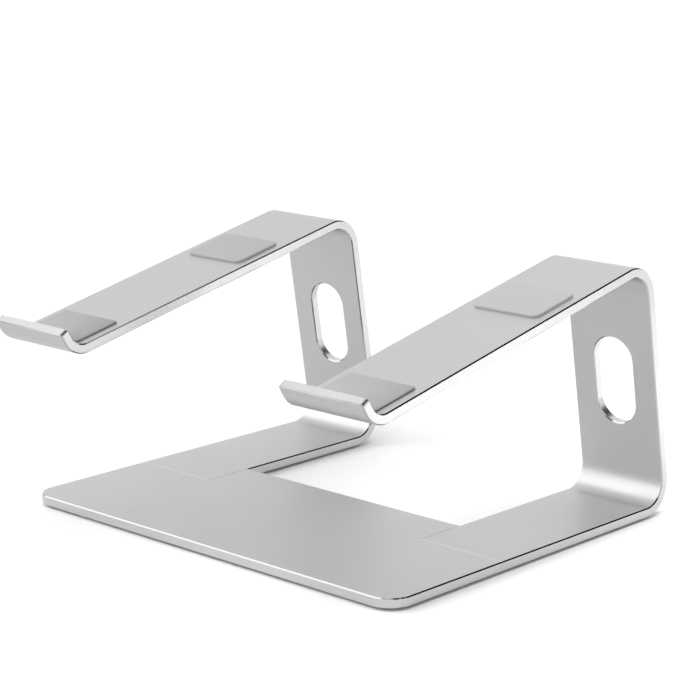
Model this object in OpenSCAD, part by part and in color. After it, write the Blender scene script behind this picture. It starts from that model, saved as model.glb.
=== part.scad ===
// Laptop stand bent from thick aluminium plate.
// A wide plate lies in front on the desk. An arm on each side starts as a flat foot behind it,
// turns up into a column with an oval cable hole, turns forward over the desk and ends in a hook
// that stops the laptop from sliding off. Lengths are in millimetres and angles in degrees.
// X is the width, Y runs from the front to the back, Z is up. The origin is under the middle of
// the whole stand, on the desk.

/* [Base] */
// Overall width of the base
base_w = 258; // [240:1:280]
// Depth of the front plate between the two arms
plate_d = 110; // [90:1:130]
// Thickness of every plate
plate_t = 5.2; // [5:0.1:6]
// Radius of the two rounded front corners
corner_r = 13; // [8:1:24]

/* [Arms] */
// Width of each arm
arm_w = 52.6; // [48:0.2:60]
// Forward lean of the columns
column_lean = 9.6; // [6:0.2:12]
// Distance from the front edge to the columns, measured along the desk
column_y = 214.9; // [205:0.1:225]
// Inner radius of the bend between foot and column
heel_r = 12; // [10:0.5:18]
// Inner radius of the bend between column and tray
shoulder_r = 12.5; // [10:0.5:16]
// Slope of the trays, down towards the hooks
tray_slope = 12; // [10:0.5:15]

/* [Hooks] */
// Height of the hooks' lowest line above the underside of the base
hook_z = 90.4; // [80:0.1:100]
// Distance of that lowest line in front of the front edge of the base
hook_out = 5.3; // [0:0.1:10]
// Inner radius of the hooks
hook_r = 9.2; // [7:0.1:11]
// Forward lean of the lips
lip_lean = 31; // [25:1:45]
// Length of the straight part of the lips
lip_len = 5.8; // [5:0.2:12]
// Radius of the two upper corners of each lip
lip_corner_r = 1.6; // [1:0.2:3]

/* [Cable holes] */
// Width of each oval hole
hole_w = 24.3; // [20:0.1:30]
// Length of each oval hole along the column
hole_l = 48; // [40:0.5:54]
// Height of the middle of the holes above the underside of the base
hole_z = 68.9; // [66:0.1:74]

/* [Lap joints] */
// Overlap of the front plate and each foot
lap_d = 30; // [24:1:36]
// Thickness of the front plate's tongue under the foot
tongue_t = 2.0; // [1.8:0.1:2.4]
// Gap at the upright faces of the lap joints
seam = 0.1; // [0.05:0.05:0.3]
// Distance between the screws across the arm
screw_dx = 34; // [28:1:38]
// Distance between the screws along the arm
screw_dy = 16; // [12:1:18]

/* [Rubber] */
// Diameter of the round feet
foot_d = 16; // [12:1:20]
// Height of the feet below the base
foot_drop = 1.2; // [0.8:0.1:2]
// Depth of the round recesses that hold the feet
foot_recess = 0.8; // [0.5:0.1:1]
// Thickness of the pads under the laptop
pad_t = 1.2; // [0.8:0.1:1.5]
// Width of the pads
pad_w = 41; // [30:1:44]
// Length of the rear pads along the tray
rear_pad_l = 32; // [20:1:40]

/* [Hidden] */
$fn = 96;

SILVER = [0.78, 0.78, 0.79];
STEEL = [0.55, 0.55, 0.57];
PAD_GREY = [0.62, 0.63, 0.64];
FOOT_GREY = [0.16, 0.16, 0.17];

// Countersunk M3 screws, 4 mm long, with a 2 mm hexagon socket
screw_r = 1.5;
screw_l = 4;
screw_head_r = 2.8;
screw_head_h = screw_head_r - screw_r;
socket_w = 2;
socket_d = 0.9;
tapped_l = 2.4;

// Flat steps in each bend of the plate
bend_steps = 24;

arm_mid = (base_w - arm_w) / 2;
arm_inner = base_w / 2 - arm_w;
hook_outer_r = hook_r + plate_t;

// Centres of the three bends in the side profile, as [Y, Z]. Each of the first two lies one inner
// radius inside the column's front face, and the second as far below the tray.
heel_c = [column_y - (heel_r + (plate_t + heel_r) * sin(column_lean)) / cos(column_lean), plate_t + heel_r];
hook_c = [-hook_out, hook_z + hook_outer_r];
column_line = column_y * cos(column_lean) - shoulder_r;
tray_line = hook_c[1] * cos(tray_slope) - hook_c[0] * sin(tray_slope) - hook_outer_r - shoulder_r;
bend_cos = cos(column_lean - tray_slope);
shoulder_c = [
    (column_line * cos(tray_slope) - tray_line * sin(column_lean)) / bend_cos,
    (tray_line * cos(column_lean) + column_line * sin(tray_slope)) / bend_cos
];

// Directions from the centres of the bends to the plate, where the straight stretches begin
foot_a = -90;
column_a = column_lean;
tray_a = 90 + tray_slope;
hook_a = 270 + tray_slope;
lip_a = 180 + lip_lean;
lip_run = [-sin(lip_lean), cos(lip_lean)];

back_y = heel_c[0] + heel_r + plate_t;
front_y = hook_c[0] - hook_outer_r * cos(lip_lean) - lip_len * sin(lip_lean);
origin_y = (front_y + back_y) / 2;
lap_y = plate_d - lap_d;
front_foot_y = 26;
rear_foot_y = 176;
front_foot_x = 104;
rear_pad_y = 132;
pad_corner_r = 4;
hook_pad_run = 26;
hook_pad_rise = 4;

// Points round a bend from one direction to another
function arc(c, r, from_a, to_a) = [
    for (i = [0:bend_steps])
        let (a = from_a + (to_a - from_a) * i / bend_steps)
        c + r * [cos(a), sin(a)]
];

// Moves a model measured from the front edge and the underside of the base into the stand's frame
module on_desk() {
    translate([0, -origin_y, foot_drop])
        children();
}

// Puts a Y-Z outline upright and makes it w wide, centred on x
module side_slab(x, w) {
    translate([x - w / 2, 0, 0])
        rotate([90, 0, 90])
            linear_extrude(height = w)
                children();
}

module rounded_rectangle(size, r) {
    square([size[0] - 2 * r, size[1]], center = true);
    square([size[0], size[1] - 2 * r], center = true);
    for (x = [-1, 1], y = [-1, 1])
        translate([x * (size[0] / 2 - r), y * (size[1] / 2 - r)])
            circle(r = r);
}

// Side profile of an arm: along the outside of the foot, column and tray and the inside of the hook
// to the top of the lip, and back along the other face
module arm_profile() {
    polygon(concat(
        [[plate_d + seam, tongue_t], [plate_d + seam, 0]],
        arc(heel_c, heel_r + plate_t, foot_a, column_a),
        arc(shoulder_c, shoulder_r + plate_t, column_a, tray_a),
        arc(hook_c, hook_r, hook_a, lip_a),
        [for (r = [hook_r, hook_outer_r]) hook_c + r * [cos(lip_a), sin(lip_a)] + lip_len * lip_run],
        arc(hook_c, hook_outer_r, lip_a, hook_a),
        arc(shoulder_c, shoulder_r, tray_a, column_a),
        arc(heel_c, heel_r, column_a, foot_a),
        [[lap_y + seam, plate_t], [lap_y + seam, tongue_t]]
    ));
}

// Oval hole, upright, that follows the lean of the column
module cable_hole() {
    straight = hole_l - hole_w;
    translate([arm_mid, column_y - hole_z * tan(column_lean), hole_z])
        rotate([90 + column_lean, 0, 0])
            linear_extrude(height = 6 * plate_t, center = true) {
                square([hole_w, straight], center = true);
                for (side = [-1, 1])
                    translate([0, side * straight / 2])
                        circle(d = hole_w);
            }
}

// Removed from the upper corners of a right lip to round them off
module lip_corner_cuts() {
    translate([arm_mid, hook_c[0], hook_c[1]])
        rotate([90 + lip_lean, 0, 0])
            linear_extrude(height = 2 * hook_outer_r)
                for (side = [0, 1])
                    mirror([side, 0])
                        translate([arm_w / 2 - lip_corner_r, lip_len - lip_corner_r])
                            difference() {
                                square(2 * lip_corner_r);
                                circle(r = lip_corner_r);
                            }
}

// Places its children at the four screw positions of the right lap joint
module at_screws() {
    for (x = [-1, 1], y = [-1, 1])
        translate([arm_mid + x * screw_dx / 2, lap_y + lap_d / 2 + y * screw_dy / 2, 0])
            children();
}

module foot_recess_at(x, y) {
    translate([x, y, -1])
        cylinder(d = foot_d, h = foot_recess + 1);
}

// Right arm in the base's own frame; the left arm is its mirror image
module arm() {
    difference() {
        side_slab(arm_mid, arm_w)
            arm_profile();
        cable_hole();
        lip_corner_cuts();
        at_screws()
            translate([0, 0, tongue_t - 1])
                cylinder(r = screw_r, h = tapped_l + 1);
        foot_recess_at(arm_mid, rear_foot_y);
    }
}

// Outline of the front plate, with its two front corners rounded
module plate_outline() {
    translate([-base_w / 2, corner_r])
        square([base_w, plate_d - corner_r]);
    translate([-base_w / 2 + corner_r, 0])
        square([base_w - 2 * corner_r, 2 * corner_r]);
    for (side = [-1, 1])
        translate([side * (base_w / 2 - corner_r), corner_r])
            circle(r = corner_r);
}

// Removed from the right end of the front plate to leave the tongue and its screw holes
module lap_cut() {
    translate([arm_inner - seam, lap_y, tongue_t])
        cube([arm_w + 2, lap_d + 1, plate_t]);
    at_screws() {
        translate([0, 0, -1])
            cylinder(r = screw_r + 0.1, h = plate_t);
        translate([0, 0, -1])
            cylinder(r1 = screw_head_r + 1, r2 = screw_r, h = screw_head_h + 1);
    }
}

module base_plate() {
    color(SILVER)
        on_desk()
            difference() {
                linear_extrude(height = plate_t)
                    plate_outline();
                for (side = [0, 1])
                    mirror([side, 0, 0]) {
                        lap_cut();
                        foot_recess_at(front_foot_x, front_foot_y);
                    }
            }
}

module left_arm() {
    color(SILVER)
        on_desk()
            mirror([1, 0, 0])
                arm();
}

module right_arm() {
    color(SILVER)
        on_desk()
            arm();
}

module countersunk_screw() {
    difference() {
        union() {
            cylinder(r1 = screw_head_r, r2 = screw_r, h = screw_head_h);
            cylinder(r = screw_r, h = screw_l);
        }
        translate([0, 0, -1])
            cylinder(d = socket_w / cos(30), h = socket_d + 1, $fn = 6);
    }
}

module lap_screws() {
    color(STEEL)
        on_desk()
            for (side = [0, 1])
                mirror([side, 0, 0])
                    at_screws()
                        countersunk_screw();
}

// Liner of a right hook: up the lip, round the bend and a little way up the tray
module hook_pad() {
    lip_dir = [cos(lip_a), sin(lip_a)];
    tray_dir = [cos(hook_a), sin(hook_a)];
    tray_run = [cos(tray_slope), sin(tray_slope)];
    top_r = hook_r - pad_t;
    side_slab(arm_mid, pad_w)
        polygon(concat(
            [for (r = [top_r, hook_r]) hook_c + r * lip_dir + hook_pad_rise * lip_run],
            arc(hook_c, hook_r, lip_a, hook_a),
            [for (r = [hook_r, top_r]) hook_c + r * tray_dir + hook_pad_run * tray_run],
            arc(hook_c, top_r, hook_a, lip_a)
        ));
}

// Rectangular pad near the back of a right tray
module tray_pad() {
    translate([0, hook_c[0], hook_c[1]])
        rotate([tray_slope, 0, 0])
            translate([arm_mid, rear_pad_y, -hook_r])
                linear_extrude(height = pad_t)
                    rounded_rectangle([pad_w, rear_pad_l], pad_corner_r);
}

module left_hook_pad() {
    color(PAD_GREY)
        on_desk()
            mirror([1, 0, 0])
                hook_pad();
}

module right_hook_pad() {
    color(PAD_GREY)
        on_desk()
            hook_pad();
}

module left_tray_pad() {
    color(PAD_GREY)
        on_desk()
            mirror([1, 0, 0])
                tray_pad();
}

module right_tray_pad() {
    color(PAD_GREY)
        on_desk()
            tray_pad();
}

module foot(x, y) {
    color(FOOT_GREY)
        on_desk()
            translate([x, y, -foot_drop])
                cylinder(d = foot_d, h = foot_drop + foot_recess);
}

module front_left_foot() {
    foot(-front_foot_x, front_foot_y);
}

module front_right_foot() {
    foot(front_foot_x, front_foot_y);
}

module rear_left_foot() {
    foot(-arm_mid, rear_foot_y);
}

module rear_right_foot() {
    foot(arm_mid, rear_foot_y);
}

base_plate();
left_arm();
right_arm();
lap_screws();
left_hook_pad();
right_hook_pad();
left_tray_pad();
right_tray_pad();
front_left_foot();
front_right_foot();
rear_left_foot();
rear_right_foot();
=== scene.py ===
"""Laptop stand of bent aluminium plate: two arms with trays, hooks and cable holes on a wide base plate."""
import math

import bmesh
import bpy
from mathutils import Matrix, Vector


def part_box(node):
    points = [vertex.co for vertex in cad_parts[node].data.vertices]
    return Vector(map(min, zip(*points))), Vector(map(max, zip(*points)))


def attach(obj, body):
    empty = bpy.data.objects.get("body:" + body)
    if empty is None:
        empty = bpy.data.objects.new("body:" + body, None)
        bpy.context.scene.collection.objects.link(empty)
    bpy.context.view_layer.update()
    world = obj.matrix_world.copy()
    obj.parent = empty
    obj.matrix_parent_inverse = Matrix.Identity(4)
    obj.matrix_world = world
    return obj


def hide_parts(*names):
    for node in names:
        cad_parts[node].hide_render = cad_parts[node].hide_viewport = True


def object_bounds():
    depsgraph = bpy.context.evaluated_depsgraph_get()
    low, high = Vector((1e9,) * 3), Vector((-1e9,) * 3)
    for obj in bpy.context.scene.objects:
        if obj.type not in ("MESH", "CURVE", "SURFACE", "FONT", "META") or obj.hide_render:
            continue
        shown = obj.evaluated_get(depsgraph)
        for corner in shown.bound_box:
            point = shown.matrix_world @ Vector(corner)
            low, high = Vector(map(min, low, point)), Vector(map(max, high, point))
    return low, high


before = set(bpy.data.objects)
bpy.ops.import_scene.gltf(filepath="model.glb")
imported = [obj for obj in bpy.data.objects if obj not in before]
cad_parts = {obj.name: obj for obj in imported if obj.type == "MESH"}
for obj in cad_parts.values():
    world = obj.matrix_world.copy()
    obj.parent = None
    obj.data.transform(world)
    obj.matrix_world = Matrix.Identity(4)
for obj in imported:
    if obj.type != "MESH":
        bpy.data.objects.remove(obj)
cad_low, cad_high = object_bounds()

# ---------------------------------------------------------------------------
# Driving dimensions, in metres and degrees. Side views are drawn as (y, z), with y measured from
# the front edge of the base plate and z from its underside.
# ---------------------------------------------------------------------------
plate_low, plate_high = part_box("base_plate")
BASE_W = plate_high.x - plate_low.x
PLATE_D = plate_high.y - plate_low.y
PLATE_T = plate_high.z - plate_low.z
CORNER_R = 0.013
ORIGIN = Vector((0, plate_low.y, plate_low.z))

ARM_W = 0.0526
ARM_MID = (BASE_W - ARM_W) / 2
COLUMN_LEAN = 9.6
COLUMN_Y = 0.2149
HEEL_R = 0.012
SHOULDER_R = 0.0125
TRAY_SLOPE = 12
HOOK_OUT = 0.0053
HOOK_Z = 0.0904
HOOK_R = 0.0092
LIP_LEAN = 31
LIP_LEN = 0.0058
LIP_CORNER_R = 0.0016
HOLE_W = 0.0243
HOLE_L = 0.048
HOLE_Z = 0.0689

LAP_D = 0.030
TONGUE_T = 0.0020
SEAM = 0.0001
SCREW_DX = 0.034
SCREW_DY = 0.016
SCREW_R = 0.0015
SCREW_HEAD_R = 0.0028
TAPPED_L = 0.0024

FOOT_RECESS = 0.0008
PAD_T = 0.0012
PAD_W = 0.041
REAR_PAD_L = 0.032
REAR_PAD_Y = 0.132
HOOK_PAD_RUN = 0.026
HOOK_PAD_RISE = 0.004

CHAMFER = 0.0006
LAP_CHAMFER = 0.00015
PAD_EDGE_R = 0.0004
PAD_CORNER_R = 0.004

# Flat steps round each upper corner of a lip
LIP_CORNER_STEPS = 10


def direction(angle):
    """Unit vector in a side view at an angle in degrees."""
    return Vector((math.cos(math.radians(angle)), math.sin(math.radians(angle))))


def bend_centres():
    """Centres of the heel, shoulder and hook bends in the side view."""
    lean, slope = math.radians(COLUMN_LEAN), math.radians(TRAY_SLOPE)
    heel_z = PLATE_T + HEEL_R
    heel = Vector((COLUMN_Y - (HEEL_R + heel_z * math.sin(lean)) / math.cos(lean), heel_z))
    hook = Vector((-HOOK_OUT, HOOK_Z + HOOK_R + PLATE_T))
    column_line = COLUMN_Y * math.cos(lean) - SHOULDER_R
    tray_line = hook.y * math.cos(slope) - hook.x * math.sin(slope) - HOOK_R - PLATE_T - SHOULDER_R
    turn = math.cos(lean - slope)
    shoulder = Vector((
        (column_line * math.cos(slope) - tray_line * math.sin(lean)) / turn,
        (tray_line * math.cos(lean) + column_line * math.sin(slope)) / turn,
    ))
    return heel, shoulder, hook


HEEL_C, SHOULDER_C, HOOK_C = bend_centres()
TRAY_A = 90 + TRAY_SLOPE
HOOK_A = 270 + TRAY_SLOPE
LIP_A = 180 + LIP_LEAN
LIP_UP = direction(90 + LIP_LEAN)


# ---------------------------------------------------------------------------
# Materials
# ---------------------------------------------------------------------------
def new_material(name):
    """Material with a Principled shader. Returns the material, its nodes, its links and the shader."""
    material = bpy.data.materials.new(name)
    material.use_nodes = True
    nodes, links = material.node_tree.nodes, material.node_tree.links
    return material, nodes, links, nodes["Principled BSDF"]


def noise(nodes, links, scale, detail=4.0, rough=0.6):
    """Noise in the row frame, scale in lumps per metre."""
    coordinates = nodes.new("ShaderNodeTexCoord")
    texture = nodes.new("ShaderNodeTexNoise")
    texture.inputs["Scale"].default_value = scale
    texture.inputs["Detail"].default_value = detail
    texture.inputs["Roughness"].default_value = rough
    links.new(coordinates.outputs["Object"], texture.inputs["Vector"])
    return texture.outputs["Fac"]


def remap(nodes, links, value, low, high, from_low=0.3, from_high=0.7):
    """Maps a value from one range to another."""
    node = nodes.new("ShaderNodeMapRange")
    node.inputs["From Min"].default_value = from_low
    node.inputs["From Max"].default_value = from_high
    node.inputs["To Min"].default_value = low
    node.inputs["To Max"].default_value = high
    links.new(value, node.inputs["Value"])
    return node.outputs["Result"]


def tint(nodes, links, factor, dark, light):
    """Colour between two colours."""
    node = nodes.new("ShaderNodeMix")
    node.data_type = "RGBA"
    node.inputs["A"].default_value = (*dark, 1)
    node.inputs["B"].default_value = (*light, 1)
    links.new(factor, node.inputs["Factor"])
    return node.outputs["Result"]


def bump(nodes, links, shader, height, distance, strength=1.0):
    """Raises the surface by a height of 0 to 1 times distance, in metres."""
    node = nodes.new("ShaderNodeBump")
    node.inputs["Strength"].default_value = strength
    node.inputs["Distance"].default_value = distance
    links.new(height, node.inputs["Height"])
    links.new(node.outputs["Normal"], shader.inputs["Normal"])


def blasted_aluminium():
    """Bead-blasted, clear anodised plate: satin, with a very fine even grain and faint handling marks."""
    material, nodes, links, shader = new_material("blasted_aluminium")
    shader.inputs["Metallic"].default_value = 1.0
    grain = noise(nodes, links, 2600, 3, 0.6)
    cloud = noise(nodes, links, 22, 3, 0.5)
    links.new(tint(nodes, links, cloud, (0.465, 0.465, 0.468), (0.495, 0.495, 0.498)), shader.inputs["Base Color"])
    links.new(remap(nodes, links, cloud, 0.40, 0.46), shader.inputs["Roughness"])
    bump(nodes, links, shader, grain, 0.00002)
    return material


def milled_aluminium():
    """Cut faces of the plate, smoother than its blasted faces."""
    material, nodes, links, shader = new_material("milled_aluminium")
    shader.inputs["Metallic"].default_value = 1.0
    cloud = noise(nodes, links, 40, 3, 0.5)
    links.new(tint(nodes, links, cloud, (0.53, 0.53, 0.533), (0.56, 0.56, 0.563)), shader.inputs["Base Color"])
    links.new(remap(nodes, links, cloud, 0.22, 0.28), shader.inputs["Roughness"])
    bump(nodes, links, shader, noise(nodes, links, 2600, 3, 0.6), 0.000006)
    return material


def dark_painted_polished_edge():
    """Broken edge of the plate, cut bright before anodising, with a colour darker than the plate's: painted dark
    reflection that draws outlines along the edges.
    """
    material, nodes, links, shader = new_material("dark_painted_polished_edge")
    shader.inputs["Metallic"].default_value = 1.0
    wear = noise(nodes, links, 300, 3, 0.6)
    # Colour darker than the plate's is painted dark reflection along the broken edges; the noise only varies it at
    # random.
    links.new(tint(nodes, links, wear, (0.35, 0.35, 0.353), (0.40, 0.40, 0.403)), shader.inputs["Base Color"])
    links.new(remap(nodes, links, wear, 0.07, 0.12), shader.inputs["Roughness"])
    return material


def silicone():
    """Matt light grey silicone with a fine moulded texture."""
    material, nodes, links, shader = new_material("grey_silicone")
    grain = noise(nodes, links, 1800, 3, 0.6)
    cloud = noise(nodes, links, 60, 3, 0.5)
    links.new(tint(nodes, links, cloud, (0.34, 0.345, 0.35), (0.38, 0.385, 0.39)), shader.inputs["Base Color"])
    links.new(remap(nodes, links, cloud, 0.52, 0.62), shader.inputs["Roughness"])
    bump(nodes, links, shader, grain, 0.00003)
    return material


def black_rubber():
    """Dark rubber of the feet."""
    material, nodes, links, shader = new_material("dark_rubber")
    grain = noise(nodes, links, 1500, 4, 0.65)
    cloud = noise(nodes, links, 120, 3, 0.5)
    links.new(tint(nodes, links, cloud, (0.018, 0.018, 0.019), (0.028, 0.028, 0.029)), shader.inputs["Base Color"])
    links.new(remap(nodes, links, cloud, 0.62, 0.78), shader.inputs["Roughness"])
    bump(nodes, links, shader, grain, 0.00004)
    return material


def stainless_steel():
    """Plain steel of the screws."""
    material, nodes, links, shader = new_material("screw_steel")
    shader.inputs["Metallic"].default_value = 1.0
    wear = noise(nodes, links, 900, 4, 0.6)
    links.new(tint(nodes, links, wear, (0.42, 0.42, 0.43), (0.52, 0.52, 0.53)), shader.inputs["Base Color"])
    links.new(remap(nodes, links, wear, 0.22, 0.36), shader.inputs["Roughness"])
    return material


# Slots of a plate's materials: its two faces, its cut faces and its broken edges
PLATE_SLOT, CUT_SLOT, EDGE_SLOT = 0, 1, 2
SHARP_FROM = 35
PAD_SHARP_FROM = 50
PLATE_MATERIALS = [blasted_aluminium(), milled_aluminium(), dark_painted_polished_edge()]
PAD_SILICONE = silicone()
FOOT_RUBBER = black_rubber()
SCREW_STEEL = stainless_steel()


# ---------------------------------------------------------------------------
# Mesh tools
# ---------------------------------------------------------------------------
def spread(start, end, steps):
    """Evenly spaced values from start to end."""
    return [start + (end - start) * i / steps for i in range(steps + 1)]


def new_piece(name, bm, materials, body="root"):
    """Makes an object of a bmesh and puts it in the row frame on its body."""
    bmesh.ops.recalc_face_normals(bm, faces=bm.faces)
    mesh = bpy.data.meshes.new(name)
    bm.to_mesh(mesh)
    bm.free()
    for material in materials:
        mesh.materials.append(material)
    piece = bpy.data.objects.new(name, mesh)
    bpy.context.scene.collection.objects.link(piece)
    mesh.transform(Matrix.Translation(ORIGIN))
    if body:
        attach(piece, body)
    return piece


def loft(bm, rings, wall_slot=lambda step, wall: CUT_SLOT, end_slot=CUT_SLOT, closed=True):
    """Quads between neighbouring rings of points, and a face on each end if it is closed. wall_slot gives a
    quad's material slot from its step along the loft and its place round the ring."""
    loops = [[bm.verts.new(p) for p in ring] for ring in rings]
    count = len(loops[0])
    for step, (a, b) in enumerate(zip(loops, loops[1:])):
        for i in range(count):
            j = (i + 1) % count
            bm.faces.new((a[i], a[j], b[j], b[i])).material_index = wall_slot(step, i)
    if closed:
        bm.faces.new(list(reversed(loops[0]))).material_index = end_slot
        bm.faces.new(loops[-1]).material_index = end_slot
    return loops


def one_slot(step, wall):
    """Wall slot of a piece with a single material."""
    return 0


def rounded_rectangle(width, length, radius, steps=10):
    """Outline of (u, v) points, centred."""
    outline = []
    for sx, sy, start in ((1, 1, 0), (-1, 1, 90), (-1, -1, 180), (1, -1, 270)):
        corner = Vector((sx * (width / 2 - radius), sy * (length / 2 - radius)))
        outline += [corner + radius * direction(a) for a in spread(start, start + 90, steps)]
    return outline


def oval(radius, half, steps=96):
    """Outline of (u, v) points of two half circles that stand half above and half below the middle."""
    angles = [math.tau * (i + 0.5) / steps for i in range(steps)]
    return [(radius * math.cos(a), math.copysign(half, math.sin(a)) + radius * math.sin(a)) for a in angles]


def circle(centre, radius, steps=64, z=0.0):
    """Points of a level circle."""
    return [
        Vector((centre[0] + radius * math.cos(a), centre[1] + radius * math.sin(a), z))
        for a in spread(0, math.tau * (steps - 1) / steps, steps - 1)
    ]


def drill(bm, centre, stations, steps=48):
    """Round cutter on an upright axis, with a radius at each of several heights."""
    loft(bm, [circle(centre, radius, steps, z) for z, radius in stations])


def cut(piece, cutter_bm):
    """Subtracts a cutter from a piece for good. The cut faces keep the cutter's material slots."""
    cutter = new_piece(piece.name + "_cutter", cutter_bm, piece.data.materials, None)
    modifier = piece.modifiers.new("cut", "BOOLEAN")
    modifier.operation = "DIFFERENCE"
    modifier.solver = "EXACT"
    modifier.object = cutter
    bake_modifiers(piece)
    bpy.data.objects.remove(cutter)


def bake_modifiers(piece):
    """Replaces a piece's mesh by the result of its modifiers."""
    bpy.context.view_layer.update()
    result = bpy.data.meshes.new_from_object(piece.evaluated_get(bpy.context.evaluated_depsgraph_get()))
    piece.modifiers.clear()
    piece.data = result


def smooth(piece, sharp_from):
    """Smooth shading with sharp edges from an angle in degrees."""
    for polygon in piece.data.polygons:
        polygon.use_smooth = True
    piece.data.set_sharp_from_angle(angle=math.radians(sharp_from))


def mirrored(side):
    """Matrix that leaves the right side as it is and mirrors it to the left."""
    return Matrix.Diagonal((side, 1, 1, 1))


# ---------------------------------------------------------------------------
# Pieces
# ---------------------------------------------------------------------------
def section(sides, under, over, chamfers):
    """Eight points round a bent strip: its two sides' x, two side-view points across it, and the chamfers of
    its first and second side."""
    (x0, x1), (c0, c1) = sides, chamfers
    across = (over - under).normalized()
    points = [
        (x0 + c0, under), (x1 - c1, under), (x1, under + c1 * across), (x1, over - c1 * across),
        (x1 - c1, over), (x0 + c0, over), (x0, over - c0 * across), (x0, under + c0 * across),
    ]
    return [(x, p.x, p.y) for x, p in points]


def lip_section(under, over, angle):
    """Eight points round the lip where its rounded corners have turned by an angle in degrees."""
    turn = direction(angle)
    straight = LIP_LEN - LIP_CORNER_R
    face_r = LIP_CORNER_R - CHAMFER
    face_run = LIP_UP * (straight + face_r * turn.y)
    wall_run = LIP_UP * (straight + LIP_CORNER_R * turn.y)
    face_inset = LIP_CORNER_R - face_r * turn.x
    wall_inset = LIP_CORNER_R * (1 - turn.x)
    edge = CHAMFER * (over - under).normalized()
    inner, outer = BASE_W / 2 - ARM_W, BASE_W / 2
    points = [
        (inner + face_inset, under + face_run), (outer - face_inset, under + face_run),
        (outer - wall_inset, under + edge + wall_run), (outer - wall_inset, over - edge + wall_run),
        (outer - face_inset, over + face_run), (inner + face_inset, over + face_run),
        (inner + wall_inset, over - edge + wall_run), (inner + wall_inset, under + edge + wall_run),
    ]
    return [(x, p.x, p.y) for x, p in points]


def arm_rings():
    """Rings of the right arm from the foot's front end to the top of the lip. The first two points of each
    are on the underside of the foot and the top of the tray."""
    sides = BASE_W / 2 - ARM_W, BASE_W / 2
    both = CHAMFER, CHAMFER
    in_lap = LAP_CHAMFER, CHAMFER

    def bend(centre, angles, near, far):
        for a in angles:
            rings.append(section(sides, centre + near * direction(a), centre + far * direction(a), both))

    front = PLATE_D - LAP_D + SEAM
    rings = [section(sides, Vector((front, 0)), Vector((front, PLATE_T - LAP_CHAMFER)), in_lap)]
    for y, chamfers in ((front + LAP_CHAMFER, in_lap), (PLATE_D - CHAMFER, in_lap), (PLATE_D, both)):
        rings.append(section(sides, Vector((y, 0)), Vector((y, PLATE_T)), chamfers))
    bend(HEEL_C, spread(-90, COLUMN_LEAN, 32), HEEL_R + PLATE_T, HEEL_R)
    bend(SHOULDER_C, spread(COLUMN_LEAN, TRAY_A, 32), SHOULDER_R + PLATE_T, SHOULDER_R)
    bend(HOOK_C, spread(HOOK_A, LIP_A, 28), HOOK_R, HOOK_R + PLATE_T)
    lip_under = HOOK_C + HOOK_R * direction(LIP_A)
    lip_over = HOOK_C + (HOOK_R + PLATE_T) * direction(LIP_A)
    for a in spread(0, 90, LIP_CORNER_STEPS):
        rings.append(lip_section(lip_under, lip_over, a))
    return rings


def at_screws(build):
    """Calls build with the place of each screw of the right lap joint."""
    for x in (-SCREW_DX / 2, SCREW_DX / 2):
        for y in (-SCREW_DY / 2, SCREW_DY / 2):
            build((ARM_MID + x, PLATE_D - LAP_D / 2 + y))


def rubber_foot_place(name):
    """Middle of a CAD foot, measured as the side views are, and its radius."""
    low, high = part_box(name)
    middle = (low + high) / 2 - ORIGIN
    return middle, (high.x - low.x) / 2


def make_cable_hole():
    """Cutter of the right column's oval hole, with a chamfer at both faces."""
    lean = math.radians(COLUMN_LEAN)
    middle = Vector((ARM_MID, COLUMN_Y - HOLE_Z * math.tan(lean), HOLE_Z))
    up = Vector((0, -math.sin(lean), math.cos(lean)))
    through = Vector((0, math.cos(lean), math.sin(lean)))
    past = 0.001
    stations = ((-past, CHAMFER + past), (CHAMFER, 0), (PLATE_T - CHAMFER, 0), (PLATE_T + past, CHAMFER + past))
    rings = []
    for depth, wider in stations:
        outline = oval(HOLE_W / 2 + wider, (HOLE_L - HOLE_W) / 2)
        rings.append([middle + Vector((u, 0, 0)) + v * up + depth * through for u, v in outline])
    cutter = bmesh.new()
    loft(cutter, rings, lambda step, wall: (EDGE_SLOT, CUT_SLOT, EDGE_SLOT)[step])
    return cutter


def make_arm(name, side):
    """Bent arm with its cable hole, the half lap of its foot, the tapped holes and the recess."""
    bm = bmesh.new()
    rings = arm_rings()
    strip = (PLATE_SLOT, EDGE_SLOT, CUT_SLOT, EDGE_SLOT) * 2
    # The lip's rounded corners take the edge material too, so they carry its painted dark reflection.
    lip_corner = (PLATE_SLOT, EDGE_SLOT, EDGE_SLOT, EDGE_SLOT) * 2
    corner_start = len(rings) - LIP_CORNER_STEPS - 1
    loops = loft(bm, rings, lambda step, wall: (strip if step < corner_start else lip_corner)[wall], closed=False)
    bm.faces.new(loops[0]).material_index = CUT_SLOT
    tip = loops[-1]
    bm.faces.new((tip[2], tip[3], tip[6], tip[7])).material_index = CUT_SLOT
    bm.faces.new((tip[0], tip[1], tip[2], tip[7])).material_index = EDGE_SLOT
    bm.faces.new((tip[3], tip[4], tip[5], tip[6])).material_index = EDGE_SLOT
    bm.transform(mirrored(side))
    arm = new_piece(name + "_strip", bm, PLATE_MATERIALS)

    hole = make_cable_hole()
    hole.transform(mirrored(side))
    cut(arm, hole)

    past = 0.001
    lap = bmesh.new()
    x0, x1 = BASE_W / 2 - ARM_W - past, BASE_W / 2 + past
    loft(lap, [
        [(x0, y, -past), (x1, y, -past), (x1, y, TONGUE_T), (x0, y, TONGUE_T)]
        for y in (PLATE_D - LAP_D - past, PLATE_D + SEAM)
    ])
    lap.transform(mirrored(side))
    cut(arm, lap)

    holes = bmesh.new()
    at_screws(lambda place: drill(holes, place, [(TONGUE_T - past, SCREW_R), (TONGUE_T + TAPPED_L, SCREW_R)]))
    place, radius = rubber_foot_place("rear_right_foot")
    drill(holes, place, [(-past, radius), (FOOT_RECESS, radius)], 96)
    holes.transform(mirrored(side))
    cut(arm, holes)

    smooth(arm, SHARP_FROM)
    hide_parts(name)
    return arm


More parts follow.
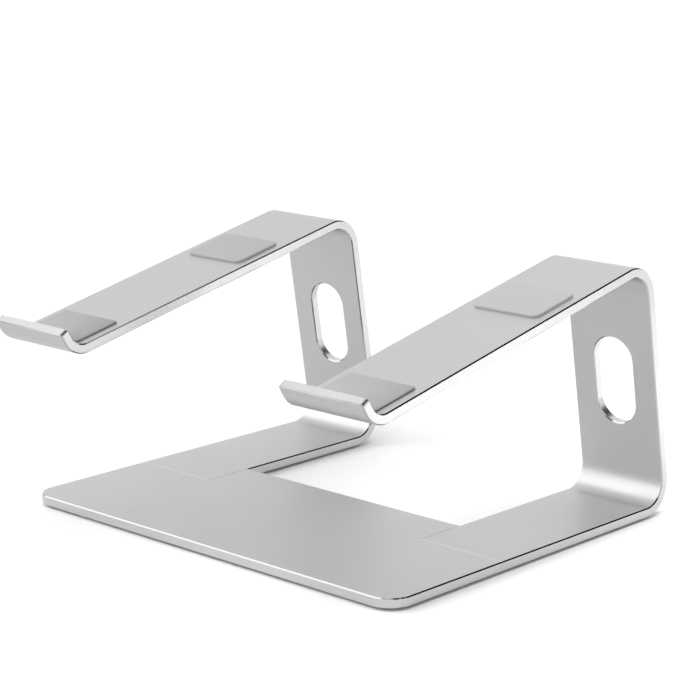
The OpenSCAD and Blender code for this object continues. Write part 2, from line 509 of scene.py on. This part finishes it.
def base_outline(inset):
    """Outline of the base plate seen from above, moved in by an inset."""
    radius = CORNER_R - inset
    centre = Vector((BASE_W / 2 - CORNER_R, CORNER_R))
    right = [centre + radius * direction(a) for a in spread(-90, 0, 24)]
    right.append(Vector((BASE_W / 2 - inset, PLATE_D - inset)))
    left = [Vector((-p.x, p.y)) for p in reversed(right)]
    return right + left


def make_base_plate():
    """Front plate with two rounded corners, two tongues, countersunk holes and recesses for its feet."""
    bm = bmesh.new()
    levels = ((0, CHAMFER), (CHAMFER, 0), (PLATE_T - CHAMFER, 0), (PLATE_T, CHAMFER))
    rings = [[(p.x, p.y, z) for p in base_outline(inset)] for z, inset in levels]
    loft(bm, rings, lambda step, wall: (EDGE_SLOT, CUT_SLOT, EDGE_SLOT)[step], PLATE_SLOT)
    plate = new_piece("base_plate_body", bm, PLATE_MATERIALS)

    past = 0.001
    x0, x1 = BASE_W / 2 - ARM_W - SEAM, BASE_W / 2 + past
    clearance = SCREW_R + 0.0001
    for side in (1, -1):
        lap = bmesh.new()
        loft(lap, [
            [(x0, y, TONGUE_T), (x1, y, TONGUE_T), (x1, y, PLATE_T + past), (x0, y, PLATE_T + past)]
            for y in (PLATE_D - LAP_D, PLATE_D + past)
        ])
        lap.transform(mirrored(side))
        cut(plate, lap)

        holes = bmesh.new()
        sink = [(-past, SCREW_HEAD_R + past), (SCREW_HEAD_R - clearance, clearance), (PLATE_T, clearance)]
        at_screws(lambda place: drill(holes, place, sink))
        place, radius = rubber_foot_place("front_right_foot")
        drill(holes, place, [(-past, radius), (FOOT_RECESS, radius)], 96)
        holes.transform(mirrored(side))
        cut(plate, holes)

    smooth(plate, SHARP_FROM)
    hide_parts("base_plate")
    return plate


def make_hook_pad(name, side):
    """Silicone liner: up the lip, round the hook and a little way up the tray."""
    top_r = HOOK_R - PAD_T
    lip_run = LIP_UP * HOOK_PAD_RISE
    tray_run = direction(TRAY_SLOPE) * HOOK_PAD_RUN
    pairs = [(HOOK_C + HOOK_R * direction(a), HOOK_C + top_r * direction(a)) for a in spread(LIP_A, HOOK_A, 28)]
    lip_end = [p + lip_run for p in pairs[0]]
    tray_end = [p + tray_run for p in pairs[-1]]
    lip_back = [p - LIP_UP * PAD_EDGE_R for p in lip_end]
    tray_back = [p - direction(TRAY_SLOPE) * PAD_EDGE_R for p in tray_end]
    pairs = [lip_back] + pairs + [tray_back]
    sides = ARM_MID - PAD_W / 2, ARM_MID + PAD_W / 2
    rings = [section(sides, under, over, (PAD_EDGE_R, PAD_EDGE_R)) for under, over in pairs]
    inset_sides = sides[0] + PAD_EDGE_R, sides[1] - PAD_EDGE_R
    end_edge = PAD_EDGE_R / 2
    ends = [
        section(inset_sides, under, over - PAD_EDGE_R * (over - under).normalized(), (end_edge, end_edge))
        for under, over in (lip_end, tray_end)
    ]
    bm = bmesh.new()
    loft(bm, [ends[0]] + rings + [ends[1]], one_slot, 0)
    bm.transform(mirrored(side))
    pad = new_piece(name + "_liner", bm, [PAD_SILICONE])
    smooth(pad, PAD_SHARP_FROM)
    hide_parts(name)
    return pad


def make_tray_pad(name, side):
    """Rectangular silicone pad with rounded corners and a rounded rim near the back of a tray."""
    slope = math.radians(TRAY_SLOPE)
    along = Vector((0, math.cos(slope), math.sin(slope)))
    normal = Vector((0, -math.sin(slope), math.cos(slope)))
    middle = Vector((ARM_MID, HOOK_C.x, HOOK_C.y)) + REAR_PAD_Y * along - HOOK_R * normal
    levels = [(0, 0)]
    for a in spread(0, 90, 4):
        turn = direction(a)
        levels.append((PAD_T - PAD_EDGE_R * (1 - turn.y), PAD_EDGE_R * (1 - turn.x)))
    rings = []
    for height, inset in levels:
        outline = rounded_rectangle(PAD_W - 2 * inset, REAR_PAD_L - 2 * inset, PAD_CORNER_R - inset)
        rings.append([middle + Vector((p.x, 0, 0)) + p.y * along + height * normal for p in outline])
    bm = bmesh.new()
    loft(bm, rings, one_slot, 0)
    bm.transform(mirrored(side))
    pad = new_piece(name + "_sheet", bm, [PAD_SILICONE])
    smooth(pad, PAD_SHARP_FROM)
    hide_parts(name)
    return pad


def make_foot(name):
    """Round rubber foot with a rounded lower rim and a shallow dish in the middle."""
    low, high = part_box(name)
    middle, radius = rubber_foot_place(name)
    height = high.z - low.z
    bottom = low.z - ORIGIN.z
    rim = 0.0006
    stations = [(bottom + 0.0003, radius * 0.45), (bottom + 0.0002, radius * 0.62), (bottom, radius * 0.72)]
    stations += [
        (bottom + rim * (1 - math.sin(a)), radius - rim * (1 - math.cos(a)))
        for a in spread(math.pi / 2, 0, 6)
    ]
    stations += [(bottom + height, radius)]
    bm = bmesh.new()
    loft(bm, [circle(middle, r, 64, z) for z, r in stations], one_slot, 0)
    foot = new_piece(name + "_rubber", bm, [FOOT_RUBBER])
    smooth(foot, SHARP_FROM)
    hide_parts(name)
    return foot


# ---------------------------------------------------------------------------
# The stand
# ---------------------------------------------------------------------------
make_base_plate()
for side_name, side in (("left", -1), ("right", 1)):
    make_arm(side_name + "_arm", side)
    make_hook_pad(side_name + "_hook_pad", side)
    make_tray_pad(side_name + "_tray_pad", side)
    for end in ("front", "rear"):
        make_foot(f"{end}_{side_name}_foot")
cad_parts["lap_screws"].data.materials.append(SCREW_STEEL)


# ---------------------------------------------------------------------------
# Floor, light and camera
# ---------------------------------------------------------------------------
def make_floor():
    """Plain pale floor that the feet stand on."""
    bm = bmesh.new()
    bmesh.ops.create_grid(bm, x_segments=1, y_segments=1, size=6)
    mesh = bpy.data.meshes.new("floor")
    bm.to_mesh(mesh)
    bm.free()
    floor = bpy.data.objects.new("floor", mesh)
    floor.location.z = cad_low.z
    bpy.context.scene.collection.objects.link(floor)
    material, nodes, links, shader = new_material("pale_floor")
    shader.inputs["Base Color"].default_value = (0.92, 0.92, 0.92, 1)
    shader.inputs["Roughness"].default_value = 0.9
    shader.inputs["Specular IOR Level"].default_value = 0.1
    mesh.materials.append(material)


def softbox(name, place, target, size, power, spread_angle):
    """Square area light with a grid, at a place in the row frame, facing a target."""
    data = bpy.data.lights.new(name, "AREA")
    data.shape = "SQUARE"
    data.size = size
    data.energy = power
    data.spread = math.radians(spread_angle)
    light = bpy.data.objects.new(name, data)
    light.location = place
    light.rotation_euler = (Vector(target) - light.location).to_track_quat("-Z", "Y").to_euler()
    bpy.context.scene.collection.objects.link(light)


def make_sun(place, angle, strength):
    """Large soft light that is far away in one direction."""
    data = bpy.data.lights.new("key", "SUN")
    data.angle = math.radians(angle)
    data.energy = strength
    light = bpy.data.objects.new("key", data)
    light.rotation_euler = Vector(place).to_track_quat("Z", "Y").to_euler()
    bpy.context.scene.collection.objects.link(light)


def make_world(strength, dark_patches):
    """Pale surroundings with soft dark patches, which draw the plates' edges. A patch is a direction and
    the cosines of the angles at which it starts and is full."""
    world = bpy.data.worlds.new("studio")
    world.use_nodes = True
    nodes, links = world.node_tree.nodes, world.node_tree.links
    background = nodes["Background"]
    background.inputs["Strength"].default_value = strength
    coordinates = nodes.new("ShaderNodeTexCoord")
    darkest = None
    for towards, start, full in dark_patches:
        along = nodes.new("ShaderNodeVectorMath")
        along.operation = "DOT_PRODUCT"
        along.inputs[1].default_value = Vector(towards).normalized()
        links.new(coordinates.outputs["Generated"], along.inputs[0])
        patch = remap(nodes, links, along.outputs["Value"], 0, 1, start, full)
        if darkest:
            either = nodes.new("ShaderNodeMath")
            either.operation = "MAXIMUM"
            links.new(darkest, either.inputs[0])
            links.new(patch, either.inputs[1])
            patch = either.outputs["Value"]
        darkest = patch
    links.new(tint(nodes, links, darkest, (1, 1, 1), (0.02, 0.02, 0.02)), background.inputs["Color"])
    bpy.context.scene.world = world


def make_camera():
    """Camera in front of the stand on its right, looking a little down."""
    data = bpy.data.cameras.new("camera")
    data.sensor_width = 36
    data.lens = 116.2
    camera = bpy.data.objects.new("camera", data)
    camera.location = ORIGIN + Vector((0.7828, -0.7325, 0.3532))
    camera.rotation_euler = (math.radians(90 - 13.14), 0, math.radians(42.88))
    data.clip_start = 0.05
    data.clip_end = 50
    bpy.context.scene.collection.objects.link(camera)
    bpy.context.scene.camera = camera


make_floor()
make_world(1.2, [((0.29, 0.74, 0.60), 0.90, 0.95), ((0.58, 0.08, 0.81), 0.90, 0.95)])
make_sun((-0.61, -0.52, 0.60), 62, 1.2)
softbox("side", (0.42, 0.28, 0.78), (0.42, 0.28, 0), 0.5, 1.15, 62)
make_camera()
bpy.context.scene.view_settings.view_transform = "Standard"
